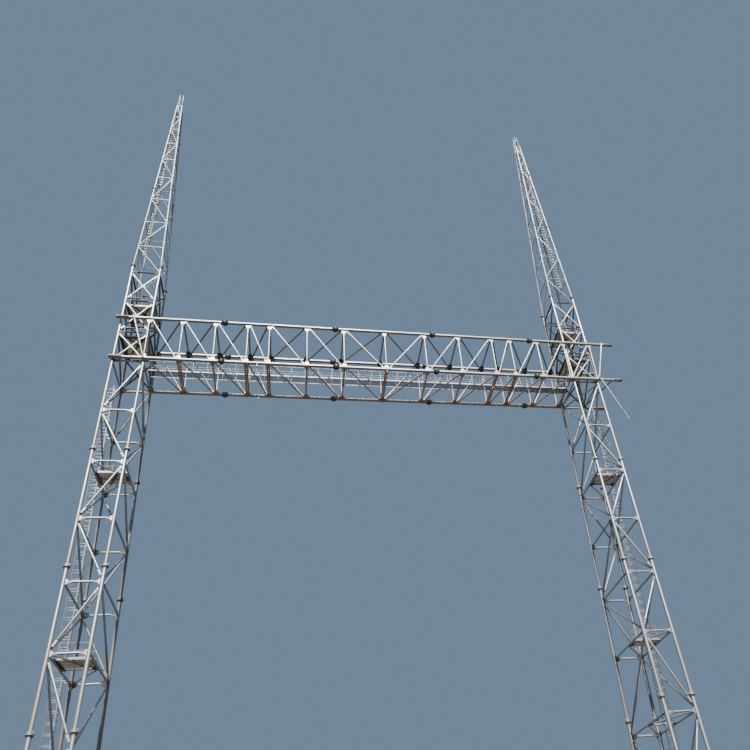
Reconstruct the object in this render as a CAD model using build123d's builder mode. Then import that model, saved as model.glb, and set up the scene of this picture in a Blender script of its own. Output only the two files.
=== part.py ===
from build123d import *
import os

# Substation gantry: two lattice columns of steel tube carry one lattice beam, and a lattice
# mast stands on each column. It is a 1:10 model, so 1 mm here is 10 mm on the real gantry.
# X runs along the beam, Y from front to back, and Z is up from the ground.

# Columns: the leg spacing along the beam is constant up to the mast, and across the beam
# the legs close in on one straight line from the ground to the top of the mast.
bay = 4200.0               # middle of one column to middle of the other
column_width = 246.0       # leg to leg, along the beam
base_depth = 806.0         # leg to leg, across the beam, at the ground
top_depth = 56.0           # the same at the top of the mast
top_width = 50.0           # leg to leg along the beam at the top of the mast
column_panels = [725.0, 725.0, 635.0, 520.0, 520.0, 520.0, 520.0, 575.0]  # from the ground up
head_panels = [334.0, 407.0, 399.0]                                       # beside and over the beam
mast_panels = [390.0, 390.0, 390.0, 390.0, 350.0, 320.0, 290.0, 270.0, 255.0]
tip_rise = 240.0           # how far the mast's legs run on over its top ring

# Tubes: radius of the legs in each length between two flanges, from the ground up
leg_radii = [15.0, 13.5, 12.0, 11.0]
leg_joints = [2, 4, 6]     # the flanges stand over these levels, counted from the ground
joint_rise = 120.0         # level to flange
mast_joint_rise = 90.0     # top ring to the flange that carries the mast
mast_joints = [1345.0, 2405.0]   # the mast's own flanges, over its lowest ring
cap_drop = 24.0            # the columns' top bars pass this far under the beam's chords
mast_leg_radius = 7.0
tip_radius = 2.5
brace = 16.0               # column bracing, across the flats
mast_brace = 7.0
tube_sides = 8

# Flanges and feet
flange_reach = 11.0        # flange edge outside its tube
mast_flange_reach = 5.0
flange_thickness = 6.0     # both plates of a joint together
foot_size = 92.0
foot_thickness = 4.0

# Beam: a box truss as wide as the columns are deep there
chord_radius = 14.0
truss_height = 472.0
web = 13.0                 # bracing of its front and back, across the flats
cross_web = 15.0           # the same at its top and bottom
end_panel = 282.0          # beam panels from the left column inwards: three of these
hanger_panel = 192.0       # then a short one, where a line hangs
side_panel = 338.0         # then two of these, two that fill the middle, and the same back again
landing = 36.0             # the last node before the right column to that column's legs
left_overhang = 30.0       # chords past the last leg on the left
right_overhang = 262.0     # chords past the last leg on the right, for the next span
splices = [(2, 0.27), (5, 0.77), (8, 0.24), (11, 0.73)]  # panel, and how far along it

# Braces let go at one end: beam node, face, then along X and up from there to both ends
swung = [(0, -1, (0.0, 0.0), (-131.0, truss_height + 5.0)),
         (14, -1, (8.0, 0.0), (132.0, truss_height + 3.0)),
         (14, -1, (22.0, 0.0), (200.0, -497.0)), (14, 1, (12.0, 0.0), (204.0, -456.0))]
swung_flat = (20.0, 176.0)  # one lies on the chords: along X from the last node to its ends
swing_out = 13.0

# Decks, rails and ladders
deck_thickness = 3.0
deck_clearance = 22.0      # deck edge to the leg's axis
head_deck_gap = 75.0       # the decks over the beam stay this far behind the front legs
rail_height = 110.0
rail = 3.0
walkway_width = 95.0
walkway_offset = -12.0     # walkway's middle from the beam's, towards the front
ladder_width = 45.0
stile = 5.0
rung = 2.5
rung_pitch = 150.0
ladder_standoff = 24.0     # face of the column to the ladder
ladder_inset = 60.0        # back leg to the ladder
ladder_foot = 20.0         # ground to the ladder
ladder_stop = 45.0         # ladder's top end to the beam's lower chords
cage_depth = 70.0
cage_band = 5.0
cage_plate = 2.0
cage_strap = 12.0          # straps down the cage, this far to both sides of its middle
hoop_pitch = 300.0
first_hoop = 300.0

seat = 0.3                 # left between two pieces that touch
heel = 15.0                # a diagonal meets its tube this far from the node

# Heights of the levels
levels = [sum(column_panels[:i]) for i in range(len(column_panels) + 1)]
beam_height = levels[-1]
rings = [beam_height + sum(head_panels[:i]) for i in range(len(head_panels) + 1)]
mast_foot = rings[-1] + mast_joint_rise
mast_levels = [rings[-1] + sum(mast_panels[:i]) for i in range(len(mast_panels) + 1)]
mast_top = mast_levels[-1]

# The origin is under the middle of the whole length
left_reach = column_width / 2 + leg_radii[-1] + ladder_standoff + cage_depth
right_reach = column_width / 2 + right_overhang
middle = (left_reach - right_reach) / 2
columns = {"left": middle - bay / 2, "right": middle + bay / 2}


def half_depth(z):
    """Half the leg spacing across the beam at height z."""
    return (base_depth + (top_depth - base_depth) * z / mast_top) / 2


def half_width(z):
    """Half the leg spacing along the beam at height z."""
    share = max(0.0, (z - mast_foot) / (mast_top - mast_foot))
    return (column_width + (top_width - column_width) * share) / 2


def leg_point(column, side, face, z):
    """Point on a leg's axis; side is -1 or 1 along X, face is -1 at the front and 1 behind."""
    return Vector(columns[column] + side * half_width(z), face * half_depth(z), z)


def prism(start, end, radius, sides=tube_sides, across=(1, 0, 0)):
    """Tube from start to end, with flats at the given radius that face along X and Y."""
    with BuildPart(mode=Mode.PRIVATE) as tube:
        with BuildSketch(Plane(origin=start, x_dir=across, z_dir=end - start)):
            RegularPolygon(radius, sides, major_radius=False, rotation=180 / sides)
        extrude(amount=(end - start).length)
    return tube.part


def flanged_run(joints, radii, reach, across=(1, 0, 0)):
    """Tube lengths from joint to joint, with a ring flange between each two lengths."""
    way = (joints[-1] - joints[0]).normalized()
    half = way * (flange_thickness / 2)
    clear = way * (flange_thickness / 2 + seat)
    last = len(radii) - 1
    pieces = []
    for i, radius in enumerate(radii):
        low = joints[i] + clear if i > 0 else joints[i]
        high = joints[i + 1] - clear if i < last else joints[i + 1]
        pieces.append(prism(low, high, radius, across=across))
        if i < last:
            pieces.append(prism(joints[i + 1] - half, joints[i + 1] + half, radius + reach,
                                across=across))
    return pieces


def bar(start, end, across, width, depth=None):
    """Bar of rectangular section from start to end, its width measured along across."""
    with BuildPart(mode=Mode.PRIVATE) as piece:
        with BuildSketch(Plane(origin=start, x_dir=across, z_dir=end - start)):
            Rectangle(width, depth or width)
        extrude(amount=(end - start).length)
    return piece.part


def member(start, end, rails, reaches, across, size):
    """Bar between two tubes' axes, cut back at each end to seat on the tube's surface."""
    way = (end - start).normalized()
    cuts = []
    for tube, reach in zip(rails, reaches):
        cosine = abs(way.dot(tube.normalized()))
        sine = (1 - cosine**2) ** 0.5
        cuts.append((reach + seat + size / 2 * cosine) / sine)
    return bar(start + way * cuts[0], end - way * cuts[1], across, size)


def leg_radius(z):
    """Radius of a column's leg at height z."""
    below = [levels[j] + joint_rise for j in leg_joints]
    return leg_radii[sum(z > joint for joint in below)]


def column_leg(column, side, face):
    """One leg from its foot plate to the mast's foot, in flanged lengths."""
    tilt = leg_radii[0] * (base_depth - top_depth) / 2 / mast_top   # a tube's slanted end dips
    foot = leg_point(column, side, face, foot_thickness + seat + tilt)
    cuts = [levels[j] + joint_rise for j in leg_joints]
    top = leg_point(column, side, face, mast_foot - seat)
    under = leg_point(column, side, face, mast_foot - 2 * seat - flange_thickness / 2 - tilt)
    joints = [foot] + [leg_point(column, side, face, z) for z in cuts] + [under]
    pieces = flanged_run(joints, leg_radii, flange_reach)
    pieces.append(prism(top - Vector(0, 0, flange_thickness / 2), top,
                        leg_radii[-1] + flange_reach))
    with BuildPart(Plane(origin=(foot.X, foot.Y, 0)), mode=Mode.PRIVATE) as plate:
        Box(foot_size, foot_size, foot_thickness, align=(Align.CENTER, Align.CENTER, Align.MIN))
    return pieces + [plate.part]


def face_bracing(legs, heights, starts, crossed, size, across):
    """Level bars at every height, a diagonal in each panel, and a second where it is crossed."""
    pieces = []
    tubes = [leg(heights[-1]) - leg(heights[0]) for leg in legs]
    up = [tube.normalized() * heel for tube in tubes]

    def reach(z):
        return leg_radius(z) if z <= mast_foot else mast_leg_radius

    for z in heights[1:]:
        pieces.append(member(legs[0](z), legs[1](z), tubes, [reach(z)] * 2, across, size))
    for i, (low, high) in enumerate(zip(heights, heights[1:])):
        feet = [leg(low) + rise for leg, rise in zip(legs, up)]
        heads = [leg(high) - rise for leg, rise in zip(legs, up)]
        a, b = starts[i], 1 - starts[i]
        whole = heads[b] - feet[a]
        pieces.append(member(feet[a], heads[b], [tubes[a], tubes[b]], [reach(low), reach(high)],
                             across, size))
        if i in crossed:   # the second one comes in two halves that meet the first
            wide, narrow = (feet[1] - feet[0]).length, (heads[1] - heads[0]).length
            centre = feet[a] + whole * (wide / (wide + narrow))
            pieces.append(member(feet[b], centre, [tubes[b], whole], [reach(low), size / 2],
                                 across, size))
            pieces.append(member(centre, heads[a], [whole, tubes[a]], [size / 2, reach(high)],
                                 across, size))
    return pieces


os.makedirs("parts", exist_ok=True)


def save(name, part):
    """Label a piece and write it to its own file."""
    part.label = name
    export_step(part, f"parts/{name}.step")


def node(pieces):
    """One node of pieces that stand clear of each other."""
    return Compound([solid for piece in pieces for solid in piece.solids()])


# Columns: legs, the bracing of the four faces, and the level frames inside
face_heights = levels[:-1] + [beam_height - cap_drop] + rings[1:]
crossed = list(range(len(column_panels), len(column_panels) + len(head_panels)))
# In each face a diagonal starts low at leg 0 or leg 1, panel by panel from the ground up
zigzag = [i % 2 for i in range(len(face_heights) - 1)]
front_starts = [1 - a for a in zigzag]
back_starts = zigzag[:6] + [0, 0] + [0, 0, 0]

for column in columns:
    out = -1 if column == "left" else 1
    for face_name, face in (("front", -1), ("back", 1)):
        for side_name, side in (("outer", out), ("inner", -out)):
            save(f"{column}_{face_name}_{side_name}_leg", node(column_leg(column, side, face)))
        legs = [lambda z, s=s, f=face: leg_point(column, s, f, z) for s in (-1, 1)]
        starts = front_starts if face < 0 else back_starts
        save(f"{column}_{face_name}_bracing",
             node(face_bracing(legs, face_heights, starts, crossed, brace, (0, 1, 0))))
    for side_name, side in (("outer", out), ("inner", -out)):
        legs = [lambda z, s=side, f=f: leg_point(column, s, f, z) for f in (-1, 1)]
        starts = [1 - a if side < 0 else a for a in zigzag]
        save(f"{column}_{side_name}_bracing",
             node(face_bracing(legs, face_heights, starts, crossed, brace, (1, 0, 0))))


def plan_frame(column, z):
    """Level frame inside a column: four bars from the middle of each level bar to the next."""
    centre = columns[column]
    wide, deep = half_width(z), half_depth(z)
    pieces = []
    for side in (-1, 1):
        for face in (-1, 1):
            start = Vector(centre + side * heel, face * deep, z)
            end = Vector(centre + side * wide, face * heel, z)
            pieces.append(member(start, end, [Vector(1, 0, 0), Vector(0, 1, 0)],
                                 [brace / 2, brace / 2], (0, 0, 1), brace * 0.7))
    return pieces


def platform(column, z, front_gap):
    """Deck on the level bars at height z, its front edge front_gap behind the front legs."""
    low = z + brace / 2 + seat
    x = columns[column]
    wide = half_width(z + rail_height) - deck_clearance
    back = half_depth(z + rail_height) - deck_clearance
    front = -half_depth(z) + front_gap
    return x, low, wide, front, back


def deck(column, z, front_gap):
    x, low, wide, front, back = platform(column, z, front_gap)
    with BuildPart(Plane(origin=(x, (front + back) / 2, low))) as plate:
        Box(2 * half_width(z), back - front, deck_thickness,
            align=(Align.CENTER, Align.CENTER, Align.MIN))
    return plate.part


def guard(column, z, front_gap):
    """Handrail round a deck: four corner posts, and a bar along each side on top of them."""
    x, low, wide, front, back = platform(column, z, front_gap)
    floor = low + deck_thickness + seat
    pieces = []
    for px in (x - wide + rail / 2, x + wide - rail / 2):
        for py in (front + rail / 2, back - rail / 2):
            top = Vector(px, py, floor + rail_height)
            pieces.append(bar(Vector(px, py, floor), top, (1, 0, 0), rail))
    level = floor + rail_height + seat + rail / 2
    for px in (x - wide + rail / 2, x + wide - rail / 2):
        pieces.append(bar(Vector(px, front, level), Vector(px, back, level), (1, 0, 0), rail))
    for py in (front + rail / 2, back - rail / 2):
        pieces.append(bar(Vector(x - wide + rail + seat, py, level),
                          Vector(x + wide - rail - seat, py, level), (0, 1, 0), rail))
    return pieces


rest_levels = [levels[3], levels[6]]
head_decks = [rings[1], rings[2]]
for column in columns:
    frames = [b for z in rest_levels + [levels[2]] for b in plan_frame(column, z)]
    cap = beam_height - cap_drop - brace - seat
    corners = [leg_point(column, 1, -1, cap), leg_point(column, -1, 1, cap)]
    reach = leg_radii[-1] * 1.09   # it meets the legs near a corner of their eight sides
    frames.append(member(*corners, [Vector(0, 0, 1)] * 2, [reach] * 2, (0, 0, 1), brace))
    save(f"{column}_plan_bracing", node(frames))
    floors = [(z, 2 * deck_clearance) for z in rest_levels] + [(z, head_deck_gap) for z in head_decks]
    save(f"{column}_platforms", node([deck(column, z, gap) for z, gap in floors]))
    save(f"{column}_platform_rails",
         node([piece for z, gap in floors for piece in guard(column, z, gap)]))

# Masts: four tapering legs, light zigzag bracing, a top frame and the bare leg tips
for column in columns:
    mast_legs = []
    for side in (-1, 1):
        for face in (-1, 1):
            plate = leg_point(column, side, face, mast_foot)
            over = mast_foot + flange_thickness / 2 + 2 * seat
            heights = [over] + [rings[-1] + rise for rise in mast_joints] + [mast_top]
            joints = [leg_point(column, side, face, z) for z in heights]
            way = (joints[-1] - joints[0]).normalized()
            tip = joints[-1] + way * seat
            mast_legs.append(prism(plate, plate + Vector(0, 0, flange_thickness / 2),
                                   leg_radii[-1] + flange_reach))
            mast_legs += flanged_run(joints, [mast_leg_radius] * (len(mast_joints) + 1),
                                     mast_flange_reach)
            mast_legs.append(prism(tip, tip + way * tip_rise, tip_radius, 4))
    save(f"{column}_mast_legs", node(mast_legs))
    out = -1 if column == "left" else 1
    zig = [i % 2 for i in range(len(mast_panels))]
    for name, face in (("front", -1), ("back", 1)):
        legs = [lambda z, s=s, f=face: leg_point(column, s, f, z) for s in (-1, 1)]
        starts = [1 - a for a in zig] if face < 0 else zig
        save(f"{column}_mast_{name}_bracing",
             node(face_bracing(legs, mast_levels, starts, [], mast_brace, (0, 1, 0))))
    for name, side in (("outer", out), ("inner", -out)):
        legs = [lambda z, s=side, f=f: leg_point(column, s, f, z) for f in (-1, 1)]
        starts = [1 - a for a in zig] if side < 0 else zig
        save(f"{column}_mast_{name}_bracing",
             node(face_bracing(legs, mast_levels, starts, [], mast_brace, (1, 0, 0))))


def ladder(column, foot, head, side):
    """Two stiles and the rungs between them; foot and head are the ladder's middle line."""
    way = (head - foot).normalized()
    across = Vector(0, 1, 0) if side else Vector(1, 0, 0)
    flat = Vector(1, 0, 0) if side else Vector(0, 1, 0)
    half = across * (ladder_width / 2)
    pieces = [bar(foot + s * half, head + s * half, across, rung, stile) for s in (-1, 1)]
    rungs = int(((head - foot).length - rung_pitch) // rung_pitch) + 1
    inner = across * (ladder_width / 2 - rung / 2 - seat)
    for i in range(rungs):
        at = foot + way * (rung_pitch * (i + 0.5))
        pieces.append(bar(at - inner, at + inner, flat, rung))
    return pieces


def climb_line(column, z):
    """Middle of the outside ladder at height z."""
    out = -1 if column == "left" else 1
    x = columns[column] + out * (column_width / 2 + leg_radii[-1] + ladder_standoff)
    return Vector(x, half_depth(z) - ladder_inset - ladder_width / 2, z)


def hoop(column, z):
    """Cage hoop: a flat band from stile to stile round the climber's back."""
    out = -1 if column == "left" else 1
    half, near = ladder_width / 2 + rung, stile / 2 + seat
    outside = [(near, -half), (cage_depth, -half * 0.7), (cage_depth, half * 0.7), (near, half)]
    far = cage_depth - cage_plate
    slack = half - cage_plate
    inside = [(near, slack), (far, slack * 0.7), (far, -slack * 0.7), (near, -slack)]
    with BuildPart() as band:
        with BuildSketch(Plane(origin=climb_line(column, z), x_dir=(out, 0, 0),
                               z_dir=(0, 0, out))):
            with BuildLine():
                Polyline(*outside, *inside, close=True)
            make_face()
        extrude(amount=cage_band)
    return band.part


for column in columns:
    out = -1 if column == "left" else 1
    foot, head = climb_line(column, ladder_foot), climb_line(column, beam_height - ladder_stop)
    pieces = ladder(column, foot, head, True)
    for z in levels[1:-1]:
        at = climb_line(column, z)
        for s in (-1, 1):
            inner = Vector(columns[column] + out * (column_width / 2 + brace / 2 + seat),
                           at.Y + s * ladder_width / 2, z)
            outer = Vector(at.X - out * (stile / 2 + seat), inner.Y, z)
            pieces.append(bar(inner, outer, (0, 1, 0), rung, stile))
    ends = []
    for z in (mast_levels[1] - stile, mast_levels[-2]):   # the mast's, on its level bars
        face = half_width(z) - mast_brace / 2 - seat - stile / 2
        ends.append(Vector(columns[column] + out * face, 0, z))
    pieces += ladder(column, ends[0], ends[1], True)
    save(f"{column}_ladder", node(pieces))
    hoops = int((beam_height - 60.0 - first_hoop) // hoop_pitch) + 1
    cage = [hoop(column, first_hoop + i * hoop_pitch) for i in range(hoops)]
    reach = out * (cage_depth - 1.5 * cage_plate - seat)
    low, high = [climb_line(column, z) + Vector(reach, 0, 0)
                 for z in (first_hoop, first_hoop + (hoops - 1) * hoop_pitch + cage_band)]
    cage += [bar(low + y, high + y, (0, 1, 0), cage_band, cage_plate)
             for y in (Vector(0, -cage_strap, 0), Vector(0, cage_strap, 0))]
    save(f"{column}_ladder_cage", node(cage))

# Beam: four chords with flanged splices, the bracing of the four sides
column_panel = landing + column_width
middle_panel = (bay - column_panel - 5 * end_panel - 2 * hanger_panel - 4 * side_panel) / 2
panels = ([end_panel] * 3 + [hanger_panel] + [side_panel] * 2 + [middle_panel] * 2
          + [side_panel] * 2 + [hanger_panel] + [end_panel] * 2 + [column_panel])
first_node = columns["left"] + column_width / 2
nodes = [first_node + sum(panels[:i]) for i in range(len(panels) + 1)]
beam_ends = (columns["left"] - column_width / 2 - left_overhang, nodes[-1] + right_overhang)
beam_half = half_depth(beam_height) + leg_radii[-1] + seat + chord_radius
beam_top = beam_height + truss_height


def chord(face, z):
    """One chord from end to end of the beam, in lengths with a ring flange at each splice."""
    cuts = [nodes[panel] + share * panels[panel] for panel, share in splices]
    joints = [Vector(x, face * beam_half, z) for x in [beam_ends[0]] + cuts + [beam_ends[1]]]
    return flanged_run(joints, [chord_radius] * (len(cuts) + 1), flange_reach, across=(0, 1, 0))


save("beam_bottom_chords", node([b for face in (-1, 1) for b in chord(face, beam_height)]))
save("beam_top_chords", node([b for face in (-1, 1) for b in chord(face, beam_top)]))

centre_node = len(panels) // 2
along = Vector(1, 0, 0)


def beam_side(corner_a, corner_b, across, size, crossings, stations, falling):
    """Straight bars between two chords at each station, and one diagonal in each panel."""
    reaches = [chord_radius] * 2
    pieces = [member(corner_a(x), corner_b(x), [along] * 2, reaches, across, size)
              for x in stations]
    for i in crossings:
        left_half = i < centre_node
        x_a, x_b = (nodes[i] + heel, nodes[i + 1] - heel)
        if left_half != falling:
            x_a, x_b = x_b, x_a
        pieces.append(member(corner_a(x_a), corner_b(x_b), [along] * 2, reaches, across, size))
    return pieces


def corner(face, z):
    return lambda x: Vector(x, face * beam_half, z)


every_panel = range(len(panels))
between = range(len(panels) - 1)   # the columns' own bars brace the beam over them
for name, face in (("front", -1), ("back", 1)):
    save(f"beam_{name}_bracing", node(beam_side(
        corner(face, beam_top), corner(face, beam_height), (0, 1, 0), web,
        every_panel, nodes, True)))
ties = []
for column in columns:
    for side in (-1, 1):
        for face in (-1, 1):
            leg = leg_point(column, side, face, beam_top)
            ties.append(member(leg, Vector(leg.X, face * beam_half, beam_top),
                               [Vector(0, 0, 1), along], [leg_radii[-1], chord_radius],
                               (0, 0, 1), web))
save("beam_top_bracing", node(ties + beam_side(
    corner(-1, beam_top), corner(1, beam_top), (0, 0, 1), cross_web,
    between, nodes[1:-1], False)))
save("beam_bottom_bracing", node(beam_side(
    corner(-1, beam_height), corner(1, beam_height), (0, 0, 1), cross_web,
    between, nodes[1:-1], True)))

# Walkway on the beam's bottom bracing, with a handrail on both sides
walkway_floor = beam_height + cross_web / 2 + seat
walkway_span = (nodes[0] + web, columns["right"] - column_width / 2 - web)
with BuildPart() as walkway:
    with BuildSketch(Plane(origin=(sum(walkway_span) / 2, walkway_offset, walkway_floor))):
        Rectangle(walkway_span[1] - walkway_span[0], walkway_width)
    extrude(amount=deck_thickness)
save("walkway_deck", walkway.part)
for name, face in (("front", -1), ("back", 1)):
    y = walkway_offset + face * (walkway_width - rail) / 2
    low = walkway_floor + deck_thickness + seat
    pieces = [bar(Vector(walkway_span[0], y, low + rail_height + seat + rail / 2),
                  Vector(walkway_span[1], y, low + rail_height + seat + rail / 2), (0, 0, 1), rail)]
    for x in [walkway_span[0] + rail / 2] + nodes[1:-2] + [walkway_span[1] - rail / 2]:
        pieces.append(bar(Vector(x, y, low), Vector(x, y, low + rail_height), (1, 0, 0), rail))
    save(f"walkway_{name}_rail", node(pieces))

# Line lugs: a plate with an eye under each bottom chord, where the three lines hang
lug_size = 26.0
lug_thickness = 4.0
eye_radius = 2.5
hang_points = [(nodes[3] + nodes[4]) / 2, nodes[centre_node], (nodes[10] + nodes[11]) / 2]
with BuildPart() as lugs:
    for x in hang_points:
        for face in (-1, 1):
            top = beam_height - chord_radius - seat
            with BuildSketch(Plane(origin=(x, face * beam_half, top), x_dir=(0, 1, 0),
                                   z_dir=(1, 0, 0))):
                with Locations((0, -lug_size / 2)):
                    Rectangle(lug_size * 0.8, lug_size)
                    Circle(eye_radius, mode=Mode.SUBTRACT)
            extrude(amount=lug_thickness / 2, both=True)
save("line_lugs", lugs.part)


# Loose tubes: braces let go at one end and swung aside, beside the chord that holds them
clear = chord_radius + seat + web / 2
loose = []
for i, face, start, end in swung:
    y = face * (beam_half + clear)
    tip = y - swing_out if end[1] > 0 else y
    loose.append(bar(Vector(nodes[i] + start[0], y, beam_height + start[1]),
                     Vector(nodes[i] + end[0], tip, beam_height + end[1]), (0, 1, 0), web))
loose.append(bar(Vector(nodes[-1] + swung_flat[0], beam_half, beam_height + clear),
                 Vector(nodes[-1] + swung_flat[1], -beam_half, beam_height + clear),
                 (0, 0, 1), web))
save("loose_braces", node(loose))
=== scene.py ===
# %% [markdown]
# # A substation gantry in galvanised tube
# Two lattice columns carry one lattice beam, and a slim mast stands on each column. The real
# one is about 92 m high, so this is a model at 1:10, and one millimetre here is ten there.
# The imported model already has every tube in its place, but with four or eight flat sides.
# Here each node gets its finished piece: round tubes with slotted ends, gusset plates, ribbed
# and bolted flanges, open grating, ladders with real rungs, and zinc that has weathered.

# %% The frame
import math
import bpy
from mathutils import Matrix, Vector


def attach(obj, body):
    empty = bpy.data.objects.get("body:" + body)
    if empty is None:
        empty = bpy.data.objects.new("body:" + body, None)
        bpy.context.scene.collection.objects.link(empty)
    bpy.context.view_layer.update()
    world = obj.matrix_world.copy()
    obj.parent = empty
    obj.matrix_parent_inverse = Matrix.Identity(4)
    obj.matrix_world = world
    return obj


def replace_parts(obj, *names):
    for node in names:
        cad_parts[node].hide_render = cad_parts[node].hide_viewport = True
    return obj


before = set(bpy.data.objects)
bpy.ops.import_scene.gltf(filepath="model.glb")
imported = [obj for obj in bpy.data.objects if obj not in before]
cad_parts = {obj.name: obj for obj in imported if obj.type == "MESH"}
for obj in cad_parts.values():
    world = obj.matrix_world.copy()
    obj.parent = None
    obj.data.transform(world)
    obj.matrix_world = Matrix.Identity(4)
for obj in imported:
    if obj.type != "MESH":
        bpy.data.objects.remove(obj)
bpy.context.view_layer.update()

# %% [markdown]
# ## Sizes
# A zigzag needs its joints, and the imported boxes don't tell them. So the sizes that drive the
# lattice are written down once more, in millimetres, and all points are worked out from them.

# %% Sizes of the columns and masts
MM = 0.001
bay = 4200.0
column_width, base_depth = 246.0, 806.0
top_width, top_depth = 50.0, 56.0
column_panels = [725.0, 725.0, 635.0, 520.0, 520.0, 520.0, 520.0, 575.0]
head_panels = [334.0, 407.0, 399.0]
mast_panels = [390.0, 390.0, 390.0, 390.0, 350.0, 320.0, 290.0, 270.0, 255.0]
tip_rise = 240.0
leg_radii = [15.0, 13.5, 12.0, 11.0]
leg_joints, joint_rise = [2, 4, 6], 120.0
mast_joint_rise, mast_joints = 90.0, [1345.0, 2405.0]
cap_drop = 24.0
mast_leg_radius, tip_radius = 7.0, 2.5
brace, mast_brace = 16.0, 7.0
flange_reach, mast_flange_reach, flange_thickness = 11.0, 5.0, 6.0
foot_size, foot_thickness, anchor_spacing = 92.0, 4.0, 66.0
seat, heel = 0.3, 15.0


def running_sum(start, steps):
    """Heights or places that follow each other by the given steps."""
    places = [start]
    for step in steps:
        places.append(places[-1] + step)
    return places


levels = running_sum(0.0, column_panels)
beam_height = levels[-1]
rings = running_sum(beam_height, head_panels)
mast_foot = rings[-1] + mast_joint_rise
mast_levels = running_sum(rings[-1], mast_panels)
mast_top = mast_levels[-1]
print("beam at", beam_height, "mast top at", mast_top)

# %% Sizes of the beam, the decks and the ladders
chord_radius, truss_height, web, cross_web = 14.0, 472.0, 13.0, 15.0
end_panel, hanger_panel, side_panel, landing = 282.0, 192.0, 338.0, 36.0
left_overhang, right_overhang = 30.0, 262.0
# A splice is given by its panel and by how far along that panel it is.
splices = [(2, 0.27), (5, 0.77), (8, 0.24), (11, 0.73)]
# A loose brace is given by its node, its face, and both ends from there, along X and up.
swung = [(0, -1, (0.0, 0.0), (-131.0, truss_height + 5)),
         (14, -1, (8.0, 0.0), (132.0, truss_height + 3)),
         (14, -1, (22.0, 0.0), (200.0, -497.0)), (14, 1, (12.0, 0.0), (204.0, -456.0))]
swung_flat, swing_out = (20.0, 176.0), 13.0
deck_thickness, deck_clearance, deck_gap = 3.0, 22.0, 75.0
rail_height, rail = 110.0, 3.0
walkway_width, walkway_offset = 95.0, -12.0
ladder_width, stile, rung, rung_pitch = 45.0, 5.0, 2.5, 30.0
ladder_standoff, ladder_inset, ladder_foot, ladder_stop = 24.0, 60.0, 20.0, 45.0
cage_depth, hoop_pitch, first_hoop, cage_stop = 70.0, 75.0, 300.0, 60.0

left_reach = column_width / 2 + leg_radii[-1] + ladder_standoff + cage_depth
right_reach = column_width / 2 + right_overhang
middle = (left_reach - right_reach) / 2
columns = {"left": middle - bay / 2, "right": middle + bay / 2}
column_panel = landing + column_width
middle_panel = (bay - column_panel - 5 * end_panel - 2 * hanger_panel - 4 * side_panel) / 2
panels = ([end_panel] * 3 + [hanger_panel] + [side_panel] * 2 + [middle_panel] * 2
          + [side_panel] * 2 + [hanger_panel] + [end_panel] * 2 + [column_panel])
nodes = running_sum(columns["left"] + column_width / 2, panels)
beam_ends = (columns["left"] - column_width / 2 - left_overhang, nodes[-1] + right_overhang)
beam_top = beam_height + truss_height
print("beam nodes:", len(nodes), "ends:", beam_ends)

# %% Where the legs are
along_beam, across_beam, upright = Vector((1, 0, 0)), Vector((0, 1, 0)), Vector((0, 0, 1))
outward = {"left": -1, "right": 1}
corner_signs = [(-1, -1), (-1, 1), (1, -1), (1, 1)]


def half_depth(z):
    """Half the leg spacing across the beam at height z."""
    return (base_depth + (top_depth - base_depth) * z / mast_top) / 2


def half_width(z):
    """Half the leg spacing along the beam at height z."""
    share = max(0.0, (z - mast_foot) / (mast_top - mast_foot))
    return (column_width + (top_width - column_width) * share) / 2


def leg_point(column, side, face, z):
    """Point on a leg's axis; side is -1 or 1 along X, face is -1 at the front and 1 behind."""
    return Vector((columns[column] + side * half_width(z), face * half_depth(z), z))


def leg_radius(z):
    """Radius of a leg at height z, on the column or on the mast."""
    if z > mast_foot:
        return mast_leg_radius
    return leg_radii[sum(z > levels[j] + joint_rise for j in leg_joints)]


beam_half = half_depth(beam_height) + leg_radii[-1] + seat + chord_radius
print("half of the beam's width:", round(beam_half, 1))

# %% [markdown]
# ## Node trees as sentences
# Both shaders and Geometry Nodes are trees of small steps. Made call by call they are hard to
# read, so one class adds a node and hands back its socket, and a second one wraps that socket
# so that `1 - mask` or `cloud * 0.4` adds the Math node by itself.


# %% A graph that is written as expressions
def maths_node(operation, swapped=False):
    """A method that adds the Math node for that operation."""
    def method(self, other):
        first, second = (other, self) if swapped else (self, other)
        return self.graph.add("ShaderNodeMath", {0: first, 1: second}, operation=operation)

    return method


class Value:
    """One output socket that can be used in sums."""

    def __init__(self, graph, socket):
        self.graph, self.socket = graph, socket

    __add__ = __radd__ = maths_node("ADD")
    __mul__ = __rmul__ = maths_node("MULTIPLY")
    __sub__, __rsub__ = maths_node("SUBTRACT"), maths_node("SUBTRACT", swapped=True)
    __gt__ = maths_node("GREATER_THAN")

    def clamp(self):
        """The value held between 0 and 1."""
        return self.graph.add("ShaderNodeClamp", {0: self})


class Graph:
    """A node tree, built by adding one node at a time."""

    def __init__(self, tree):
        self.tree = tree
        tree.nodes.clear()

    def put(self, value, socket):
        if isinstance(value, Value):
            self.tree.links.new(value.socket, socket)
        else:
            socket.default_value = value

    def add(self, kind, values=(), out=0, **settings):
        """Add a node: its settings first, then the values or links of its sockets."""
        node = self.tree.nodes.new(kind)
        for name, setting in settings.items():
            setattr(node, name, setting)
        for key, value in dict(values).items():
            self.put(value, node.inputs[key])
        return Value(self, node.outputs[out]) if node.outputs else node

    def mix(self, share, first, second):
        """Colour between two colours."""
        first, second = [c if isinstance(c, Value) else (*c, 1.0) for c in (first, second)]
        return self.add("ShaderNodeMix", {0: share, 6: first, 7: second}, out=2,
                        data_type="RGBA")


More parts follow.
